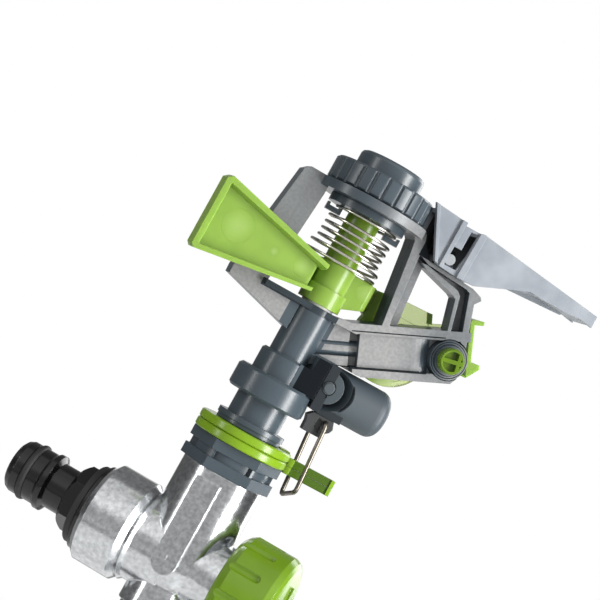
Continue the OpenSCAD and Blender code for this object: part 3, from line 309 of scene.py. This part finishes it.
def frame_masks(tree, point):
    xyz = add(tree, "SeparateXYZ", (point,), out=None).outputs
    facing = facing_side(tree)
    from_boss = distance_across(tree, point, BOSS)
    # Painted shade: the bracket's front, the hinge seat, the corner under the disc and, at half strength,
    # the sill.
    bracket = overlap(tree, facing, zone(tree, xyz, x=(3.5, 30), y=(-9, -7.2), z=(90, 117.5)))
    hinge = zone(tree, xyz, x=(19, 34), y=(-5, 5), z=(157.6, 170))
    corner = overlap(tree, facing, zone(tree, xyz, x=(17.2, 22.5), z=(155.3, 170)))
    sill = overlap(tree, zone(tree, xyz, x=(-18, 6), z=(126.6, 128.8)), 0.5)
    # The grooves' painted shade runs along the channel, so it is measured square to the rising jet.
    from_jet = add(tree, "VectorMath", (point, JET_ROOT), operation="SUBTRACT")
    square = (-math.sin(JET_RISE), 0.0, math.cos(JET_RISE))
    across = add(tree, "VectorMath", (from_jet, square), "Value", operation="DOT_PRODUCT")
    lines = strongest(tree, between(tree, across, *LOW_GROOVE), between(tree, across, *TOP_GROOVE))
    grooves = overlap(tree, lines, facing, zone(tree, xyz, x=(11, 36), z=(110, 140)))
    rings = [overlap(tree, facing, between(tree, from_boss, radius, radius + RING_WIDTH))
             for radius in BOSS_RINGS]
    dark = strongest(tree, bracket, hinge, corner, sill, grooves, *rings)
    return painted_sheen_sides(tree, xyz, facing, from_boss), dark


print("frame masks ready, boss rings:", len(BOSS_RINGS))

# %% [markdown]
# ## The trip rocker's dull front
# The drum under the bracket is slate nylon as well. Its front lies in the bracket's shade and looks
# dull and dark, so it has a dark mask of its own and no pale one.

# %% Rocker mask
def rocker_masks(tree, point):
    xyz = add(tree, "SeparateXYZ", (point,), out=None).outputs
    # The front is painted shade, at 0.8 of the full darkness.
    front = zone(tree, xyz, x=(0, 24), y=(-6.7, 9))
    return None, overlap(tree, facing_side(tree), front, 0.8)


print("rocker mask ready")

# %% [markdown]
# ## Dyed plastic
# The arm is acetal, the collars and the cap are polypropylene, dyed right through. Light goes a
# little way into such plastic and comes out again, which softens its shadows: that is subsurface
# scattering, and green light goes furthest here. The dye isn't quite even, so a slow noise mixes
# two near shades. A piece can have a place of painted shade in a darker colour, moulding marks with
# a painted highlight, and a sheet so thin that light shows through it, which gets a painted glow.

# %% Dyed plastic
DYED_IOR = 1.48
LIGHT_REACH = (0.004, 0.006, 0.001)
MARK_LINE_MM = 0.22
SHEET_CLEARNESS = 0.85


def moulding_marks(tree, point, marks, height, tone):
    """Each mark is a fine sunk ring, as an ejector pin leaves it, with a painted highlight inside."""
    for centre, radius in marks:
        away = distance_across(tree, point, centre)
        off = add(tree, "Math", (away, radius), operation="SUBTRACT")
        band = add(tree, "Math", (off,), operation="ABSOLUTE")
        line = add(tree, "Math", (band, MARK_LINE_MM * MM), operation="LESS_THAN")
        height = add(tree, "Math", (line, -5.0, height), operation="MULTIPLY_ADD")
        # Painted highlight, palest in the middle of the mark.
        inside = add(tree, "MapRange", (away, 0.0, radius, 0.22, 0.0))
        tone = add(tree, "Mix", layers(inside, tone, linear("#B4C58C")), MIX_RESULT, data_type="RGBA")
    return height, tone


def dyed_plastic(name, colour, deep, roughness=0.38, scatter=0.06, reach=0.3, marks=(), place=None,
                 thin=None):
    """Place is a zone's limits and the colour of its painted shade. Thin makes the mask of a sheet that
    passes light and has a painted glow.
    """
    material, tree, point = new_material(name)
    xyz = add(tree, "SeparateXYZ", (point,), out=None).outputs
    grain = add(tree, "TexNoise", grains(point, 0.5))
    slow = add(tree, "TexNoise", grains(point, 9.0))
    cloud = add(tree, "MapRange", (slow, 0.35, 0.65, 0.0, 0.45))
    tone = add(tree, "Mix", layers(cloud, linear(colour), linear(deep)), MIX_RESULT, data_type="RGBA")
    height = add(tree, "Math", (grain, 0.3), operation="MULTIPLY")
    through = 0.0
    # A place is covered with its darker colour as painted shade.
    if place:
        limits, shade_colour = place
        there = layers(zone(tree, xyz, **limits), tone, linear(shade_colour))
        tone = add(tree, "Mix", there, MIX_RESULT, data_type="RGBA")
    if thin:
        # The thin sheet gets a painted glow, paler than the rest; it is smoother, and light passes through
        # it.
        sheet = thin(tree, xyz)
        tone = add(tree, "Mix", layers(sheet, tone, linear("#D4E2A8")), MIX_RESULT, data_type="RGBA")
        through = add(tree, "Math", (sheet, SHEET_CLEARNESS), operation="MULTIPLY")
        roughness = add(tree, "Math", (through, -0.3, roughness), operation="MULTIPLY_ADD")
    height, tone = moulding_marks(tree, point, marks, height, tone)
    close_material(tree, {"Base Color": tone, "Roughness": roughness, "IOR": DYED_IOR,
                          "Subsurface Weight": scatter, "Subsurface Radius": LIGHT_REACH,
                          "Subsurface Scale": reach, "Transmission Weight": through,
                          "Normal": surface_normal(tree, height, edge_mm=0.3, depth_mm=0.02)})
    return material


print("dyed plastic ready")

# %% [markdown]
# ## The arm's marks and thin sheet
# The arm's paddle has faint round marks from moulding. They are shallower than a solid can show, so
# they are bump and a painted highlight inside each ring. Behind the nozzle the arm has a back plate,
# thin enough that light passes through it, and it gets a painted glow as if lit from behind. The glow
# is painted on its outer end and its top only, so the mask fades in there.

# %% Arm details
MARK_PLACES = ((-32.5, 137.2, 4.7), (-20.0, 136.0, 1.3), (-10.8, 136.2, 2.8), (9.85, 138.4, 2.8))
arm_marks = [(Vector((x, 0, z)) * MM, radius * MM) for x, z, radius in MARK_PLACES]


def painted_glow_sheet(tree, xyz):
    sheet = zone(tree, xyz, x=(21, 40), y=(7.25, 12), z=(112, 150))
    beyond = add(tree, "MapRange", (xyz[0], 25 * MM, 33 * MM))
    above = add(tree, "MapRange", (xyz[2], 125 * MM, 130 * MM))
    return overlap(tree, sheet, strongest(tree, beyond, above))


print("arm marks:", len(arm_marks))

# %% [markdown]
# ## Polished zinc
# The tee is cast zinc alloy, tumbled and polished: bright, but cast and not machined, so its
# reflections wander in soft waves of some millimetres, with small pits and a slightly greyer stain
# between them. A mirror with an even colour would look like chrome. Two sizes of noise make the
# bump, and a third one makes the stain.

# %% Polished zinc
def polished_zinc(name, colour, roughness=0.17):
    material, tree, point = new_material(name)
    wave = add(tree, "TexNoise", grains(point, 7.0, 2.0))
    pits = add(tree, "TexNoise", grains(point, 0.6))
    patches = add(tree, "TexNoise", grains(point, 1.3, 5.0))
    stain = add(tree, "MapRange", (patches, 0.3, 0.7, 0.0, 1.0))
    tone = add(tree, "Mix", layers(stain, linear(colour), linear("#B4B6B8")), MIX_RESULT, data_type="RGBA")
    rough = add(tree, "Math", (wave, 0.12, roughness - 0.05), operation="MULTIPLY_ADD")
    waves = add(tree, "Math", (wave, 1.1), operation="MULTIPLY")
    height = add(tree, "Math", (pits, 0.16, waves), operation="MULTIPLY_ADD")
    close_material(tree, {"Base Color": tone, "Metallic": 1.0, "Roughness": rough,
                          "Normal": surface_normal(tree, height, edge_mm=0.5, depth_mm=0.12)})
    return material


print("polished zinc ready")

# %% [markdown]
# ## Drawn steel and turned brass
# Wire, axle and screw are steel, and the jet's mouth is brass. Drawing and turning leave marks far
# finer than the picture shows, so a noise of 0.2 mm stands for them, coarser than the real ones.
# It scatters the highlight a little, and hardly bends the surface.

# %% Drawn metal
def drawn_metal(name, colour="#C9C5BB", roughness=0.25):
    material, tree, point = new_material(name)
    grain = add(tree, "TexNoise", grains(point, 0.2))
    rough = add(tree, "Math", (grain, 0.1, roughness - 0.05), operation="MULTIPLY_ADD")
    close_material(tree, {"Base Color": linear(colour), "Metallic": 1.0, "Roughness": rough,
                          "Normal": surface_normal(tree, grain, edge_mm=0.1, depth_mm=0.004)})
    return material


print("drawn metal ready")

# %% [markdown]
# ## Rubber
# Seals and washers are black nitrile rubber, moulded and matt. Carbon black hides every change of
# colour, so the dull surface and its fine bump are all that tells it from the glossy black nylon.

# %% Black rubber
def black_rubber(name):
    material, tree, point = new_material(name)
    skin = add(tree, "TexNoise", grains(point, 0.3))
    close_material(tree, {"Base Color": linear("#151516"), "Roughness": 0.6, "IOR": 1.52,
                          "Normal": surface_normal(tree, skin, edge_mm=0.2, depth_mm=0.01)})
    return material


print("black rubber ready")

# %% [markdown]
# ## Which material each node gets
# The record names a material slot for each node. Some nodes look different from the rest of their
# slot, because of shade, wear or another batch of plastic, and these have a finish under their own
# name. All others get the finish of their slot. Each entry says what it gives the eye.

# %% Finishes by slot
SEAM_AT = -86
# Painted shade on the arm's post, inside the spring.
ARM_POST_SHADE = {"x": (-5.3, 5.3), "y": (-5.3, 5.3), "z": (141.5, 160)}
FLAP_HINGE = {"x": (19, 34), "y": (-7.2, 7.4), "z": (155, 168)}
COLLAR_TABS = {"x": (16.1, 28.3)}

finishes = {
    # Bright metal whose reflections wander, with a stain in it.
    "cast_metal": polished_zinc("polished cast zinc", "#DDDFE1"),
    # Dark blue-grey with a satin gloss and one fine seam down the front.
    "slate_plastic": slate_nylon("slate glass-filled nylon", seam=SEAM_AT),
    # Light yellow-green that glows a little from within, with painted shade on the post inside the spring
    # and a painted glow on the thin back plate.
    "lime_plastic": dyed_plastic("lime acetal", "#7C9B3C", "#6D8A30", roughness=0.3, scatter=0.4, reach=0.6,
                                 marks=arm_marks, place=(ARM_POST_SHADE, "#5F7D12"), thin=painted_glow_sheet),
    # Deep black with clean highlights along every edge.
    "black_plastic": dyed_plastic("black nylon", "#0C0C0D", "#141415", roughness=0.17, scatter=0.0),
    # Black without gloss.
    "black_rubber": black_rubber("black nitrile rubber"),
    # A cool middle grey, nearly black at the hinge end that lies in shade.
    "silver_plastic": dyed_plastic("silver grey acetal", "#8B9096", "#5C636C", roughness=0.34, scatter=0.02,
                                   place=(FLAP_HINGE, "#15181A")),
    # Warm light metal, a little softer than a mirror.
    "bright_steel": drawn_metal("stainless steel"),
    # Milky white.
    "white_plastic": dyed_plastic("white acetal", "#EDEDE8", "#E4E4DE"),
    # Yellow metal.
    "nozzle_brass": drawn_metal("nozzle brass", "#C9A860", 0.3),
}
print("finishes by slot:", len(finishes))

# %% Finishes of single nodes
own_look = {
    # Slate nylon with painted sheen on its streaky flat sides and painted shade in its grooves and corners.
    "head_frame": slate_nylon("slate nylon frame", seam=SEAM_AT, masks=frame_masks),
    # Slate nylon with painted shade on its dull front.
    "trip_rocker": slate_nylon("slate nylon rocker", colour="#363F45", roughness=0.5, masks=rocker_masks),
    # The small dark trip pieces: each is a shade off the drum, so they read apart.
    "trip_c_spring": slate_nylon("grey nylon band", colour="#343C40"),
    "trip_latch_pin": slate_nylon("dark nylon pin", colour="#2B3438", roughness=0.45),
    "trip_clip": slate_nylon("dark nylon clip", colour="#2E2C2A"),
    # An even, light grey next to the flap's shaded hinge end.
    "flap_pin": dyed_plastic("pale grey pin", "#8E9294", "#828688", roughness=0.34),
    # Deeper greens than the arm, and glossier.
    "diffuser_screw": dyed_plastic("lime screw", "#5A770A", "#3C5400", roughness=0.24),
    "outlet_cap": dyed_plastic("green cap", "#648515", "#59780A", roughness=0.24),
    # Dull wire, darker than the spring's.
    "trip_wire": drawn_metal("trip wire steel", "#7C766C", 0.3),
}
for name in ("sector_collar_lower", "sector_collar_upper"):
    # A fuller green than the arm, with tabs that lie in the rocker's shade.
    own_look[name] = dyed_plastic("green collar", "#749619", "#688A11", roughness=0.24,
                                  place=(COLLAR_TABS, "#3C5608"))
print("finishes of single nodes:", len(own_look))

# %% Materials on the nodes
slots = {entry["node"]: entry["material_slot"] for entry in frame["record"]["subparts"]}
for name, piece in nodes.items():
    piece.data.materials.clear()
    piece.data.materials.append(own_look[name] if name in own_look else finishes[slots[name]])
print("materials on", len(nodes), "nodes")

# %% [markdown]
# ## Round wire
# Both wires are faceted in the CAD, to keep its faces few. A round wire is easiest as a curve with
# a round bevel. It is turned into a mesh here, because a piece that has to twist between two bodies
# needs points of its own.

# %% Round wire
def round_wire(name, path, radius, material, node):
    curve = bpy.data.curves.new(name, "CURVE")
    curve.dimensions = "3D"
    curve.bevel_depth = radius
    curve.bevel_resolution = 3
    curve.use_fill_caps = True
    line = curve.splines.new("POLY")
    line.points.add(len(path) - 1)
    for point, place in zip(line.points, path):
        point.co = (*place, 1)
    rod = bpy.data.objects.new(name + "_path", curve)
    mesh = bpy.data.meshes.new_from_object(rod)
    bpy.data.objects.remove(rod)
    mesh.shade_smooth()
    mesh.materials.clear()
    mesh.materials.append(material)
    wire = bpy.data.objects.new(name, mesh)
    bpy.context.scene.collection.objects.link(wire)
    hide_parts(node)
    return wire


print("round wire ready")

# %% [markdown]
# ## The arm's spring
# The photographed spring is round wire wound left-handed: one flat turn under the holder ring, a
# hop past the holder's finger, open turns, and a closing turn on the arm. Its height is a list of
# straight stretches over the angle along the wire, and its radius is the same all the way until it
# widens near the arm.

# %% Winding of the spring
WIRE = 0.42 * MM
COIL = 9.7 * MM
PITCH = 2.05 * MM
OPEN_TURNS = 4.3
HOP_DROP = 2.6 * MM
# Degrees along the wire at which one stretch ends and the next begins.
START, FLAT, HOP, OPEN, CLOSE, END = 0, 222, 310, 1858, 2208, 2358
FIRST_ANGLE = 190
STEP = 7.5
# The upper end leans towards the nozzle by one of these, and the lower end widens by the other.
LEAN = 0.35 * MM
FLARE = 1.1 * MM
FLARE_BEFORE = 260
FLARE_OVER = 200
# The CAD wire has six flat sides, so it reaches 0.87 to 1 radius from its middle line.
REACH = 0.93 * WIRE
spring_low, spring_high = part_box("arm_spring")
TOP = spring_high.z - REACH
LOW = spring_low.z + REACH
HOP_Z = TOP - HOP_DROP
OPEN_Z = HOP_Z - OPEN_TURNS * PITCH
heights = ((START, TOP), (FLAT, TOP), (HOP, HOP_Z), (OPEN, OPEN_Z), (CLOSE, LOW), (END, LOW))


def spring_height(angle):
    for (first, first_z), (last, last_z) in zip(heights, heights[1:]):
        if angle <= last:
            return first_z + (last_z - first_z) * (angle - first) / (last - first)
    return LOW


def spring_point(angle):
    turn = math.radians(angle + FIRST_ANGLE)
    lean = LEAN * (1 - angle / END)
    radius = COIL + FLARE * min(1, max(0, (angle - OPEN + FLARE_BEFORE) / FLARE_OVER))
    return lean + radius * math.cos(turn), radius * math.sin(turn), spring_height(angle)


spring_path = [spring_point(STEP * i) for i in range(int(END / STEP) + 1)]
print("spring turns:", round(END / 360, 2))

# %% [markdown]
# ## The spring's mesh
# When the arm swings, the holder keeps the spring's upper end still and the arm takes the lower end
# along, so the turns between them twist evenly. If the whole spring rode on the arm, it would cut
# through the holder's finger. This script makes the spring one mesh in place and ties neither end
# to the holder or the arm.

# %% Spring between head and arm
spring = round_wire("arm_spring_wire", spring_path, WIRE, finishes["bright_steel"], "arm_spring")
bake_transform(spring)
print("spring mesh points:", len(spring.data.vertices))

# %% [markdown]
# ## The trip wire
# The wire starts in the clip, runs down in front of the collars' tabs, passes under them and
# comes up behind them into the rocker. The CAD node has ten flat sides, so a round wire on the
# same path stands for it. Each bend is a short row of points, as a bending tool would round it.

# %% Round trip wire
TRIP_WIRE = 0.69 * MM
FOOT_Z = 102.55
LEG_Y = 6.0
# Points are in millimetres, and their heights are from the foot of the rocker's drum.
bends = ((17.6, -LEG_Y + 3.1, -1.4), (17.6, -LEG_Y + 1.1, -1.4), (17.6, -LEG_Y + 0.3, -1.8),
         (17.7, -LEG_Y, -2.6), (19.1, -LEG_Y, -20.8), (19.2, -LEG_Y + 0.4, -22.0),
         (19.1, -LEG_Y + 1.3, -22.8), (18.9, LEG_Y - 1.5, -25.2), (18.9, LEG_Y - 0.5, -25.2),
         (18.8, LEG_Y, -24.4), (17.1, LEG_Y, -5.0), (17.0, LEG_Y, -3.5), (17.0, LEG_Y, 1.5))
trip_path = [Vector((x, y, FOOT_Z + z)) * MM for x, y, z in bends]
trip_wire = round_wire("trip_wire_round", trip_path, TRIP_WIRE, own_look["trip_wire"], "trip_wire")
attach(trip_wire, "trip")
print("trip wire bends:", len(bends))

# %% [markdown]
# ## Camera
# The viewer stands 532 mm from the head's axis, level with the nozzle's root, and turned 12.8
# degrees to the nozzle's left. The picture is rolled so that the sprinkler leans 29 degrees. The
# object isn't centred on the line of sight, so the camera's shift moves the frame and the line of
# sight stays level.

# %% Camera
TURN = math.radians(12.8)
ROLL = math.radians(29)
DISTANCE = 0.532
EYE = 0.1168
SENSOR_MM = 36.0
VIEW_DEGREES = 18.04
SHIFT = (0.0068, 0.0725)

ahead = Vector((math.sin(TURN), math.cos(TURN), 0))
level = Vector((math.cos(TURN), -math.sin(TURN), 0))
upright = Vector((0, 0, 1))
right = level * math.cos(ROLL) + upright * math.sin(ROLL)
up = upright * math.cos(ROLL) - level * math.sin(ROLL)
middle = Vector((0, 0, EYE))
camera_data = bpy.data.cameras.new("camera")
camera_data.sensor_width = SENSOR_MM
camera_data.lens = SENSOR_MM / 2 / math.tan(math.radians(VIEW_DEGREES / 2))
camera_data.shift_x, camera_data.shift_y = SHIFT
camera_data.clip_start = 0.01
camera = bpy.data.objects.new("camera", camera_data)
looking = Matrix((right, up, -ahead)).transposed().to_4x4()
camera.matrix_world = Matrix.Translation(middle - ahead * DISTANCE) @ looking
bpy.context.scene.collection.objects.link(camera)
bpy.context.scene.camera = camera
print("lens:", round(camera_data.lens, 1), "mm")

# %% [markdown]
# ## Soft boxes
# The photograph has studio light. Its highlights are long and soft-edged, so the lamps are tall
# areas and not points. The strong one stands to the right of the camera and draws the long
# highlight on every round part. A slim, weak one on the left marks the other edge, and a broad one
# stands behind on the right and lights the rims from there.

# %% Soft boxes
BOX_DISTANCE = 0.9


def soft_box(name, degrees_right, height, size, power):
    turn = math.radians(degrees_right)
    toward = -ahead * math.cos(turn) + level * math.sin(turn)
    place = middle + toward * BOX_DISTANCE + Vector((0, 0, height))
    light = bpy.data.lights.new(name, "AREA")
    light.shape = "RECTANGLE"
    light.size, light.size_y = size
    light.energy = power
    lamp = bpy.data.objects.new(name, light)
    turned = (middle - place).to_track_quat("-Z", "Y").to_matrix().to_4x4()
    lamp.matrix_world = Matrix.Translation(place) @ turned
    bpy.context.scene.collection.objects.link(lamp)
    return lamp


lamps = [
    soft_box("key_box", 63, 0.05, (0.28, 1.3), 20.0),
    soft_box("edge_box", -60, 0.1, (0.08, 0.9), 2.5),
    soft_box("back_box", 145, 0.25, (0.5, 0.9), 5.0),
]
print("soft boxes:", len(lamps))

# %% [markdown]
# ## Room
# A polished tee shows the room around it more than its own colour. The room is a plain grey sky
# whose brightness changes with direction: darkest at eye level, paler below, and brighter up high
# and behind the camera's first place. The photograph's background is white, so a narrow cone
# straight ahead of that place is white. The room stays where it is when the camera moves.

# %% Room
WHITE_CONE = 0.955


def room():
    world = bpy.data.worlds.new("room")
    world.use_nodes = True
    tree = world.node_tree
    tree.nodes.clear()
    way = add(tree, "TexCoord", out="Generated")
    along = add(tree, "VectorMath", (way, ahead), "Value", operation="DOT_PRODUCT")
    rise = add(tree, "SeparateXYZ", (way,), "Z")
    # The walls: paler below, where a floor would light them, and a little paler above eye level.
    wall = add(tree, "MapRange", (rise, -0.3, -0.1, 0.3, 0.12))
    above = add(tree, "MapRange", (rise, 0.0, 0.15, 0.0, 0.1))
    # The bright side of the room, behind the camera, down to knee height.
    behind = add(tree, "MapRange", (along, -0.75, -0.3, 0.35, 0.0))
    knee = add(tree, "MapRange", (rise, -0.5, -0.25))
    # The ceiling, bright on the camera's side only.
    ceiling = add(tree, "MapRange", (rise, 0.2, 0.36, 0.0, 0.55))
    near = add(tree, "MapRange", (along, -0.05, 0.15, 1.0, 0.0))
    grey = add(tree, "Math", (behind, knee, wall), operation="MULTIPLY_ADD")
    grey = add(tree, "Math", (grey, above), operation="ADD")
    grey = add(tree, "Math", (ceiling, near, grey), operation="MULTIPLY_ADD")
    white = add(tree, "MapRange", (along, WHITE_CONE, WHITE_CONE + 0.01))
    shown = add(tree, "Math", (grey, white), operation="MAXIMUM")
    tint = add(tree, "CombineColor", (shown, shown, shown))
    back = add(tree, "Background", {"Color": tint, "Strength": 1.0})
    add(tree, "OutputWorld", {"Surface": back}, out=None)
    return world


bpy.context.scene.world = room()
bpy.context.scene.view_settings.view_transform = "Standard"
print("room ready")

# %% [markdown]
# ## Floor
# The sprinkler stands in the ground by its spike, most of which lies outside the picture. A pale
# disc just under the spike's tip catches a soft shadow in the other views. It is matt and nearly
# white, with a very slow change of tone, like a paper sweep.

# %% Floor
FLOOR_RADIUS = 0.32
FLOOR_GAP = 0.002


def floor_disc():
    mesh = bpy.data.meshes.new("floor")
    turns = [math.radians(a) for a in range(0, 360, 6)]
    rim = [(FLOOR_RADIUS * math.cos(a), FLOOR_RADIUS * math.sin(a), cad_low.z - FLOOR_GAP) for a in turns]
    mesh.from_pydata(rim, [], [tuple(range(len(rim)))])
    material, tree, point = new_material("pale floor")
    slow = add(tree, "TexNoise", grains(point, 40.0))
    tone = add(tree, "Mix", layers(slow, linear("#ECECEC"), linear("#E6E6E6")), MIX_RESULT, data_type="RGBA")
    close_material(tree, {"Base Color": tone, "Roughness": 0.8})
    mesh.materials.append(material)
    disc = bpy.data.objects.new("floor", mesh)
    bpy.context.scene.collection.objects.link(disc)
    return disc


floor_disc()
print("floor ready")

# %% [markdown]
# ## Sizes and finish
# The CAD box is printed in millimetres.

# %% Finish
print("CAD box", [round(v * 1000, 1) for v in cad_high - cad_low], "mm")
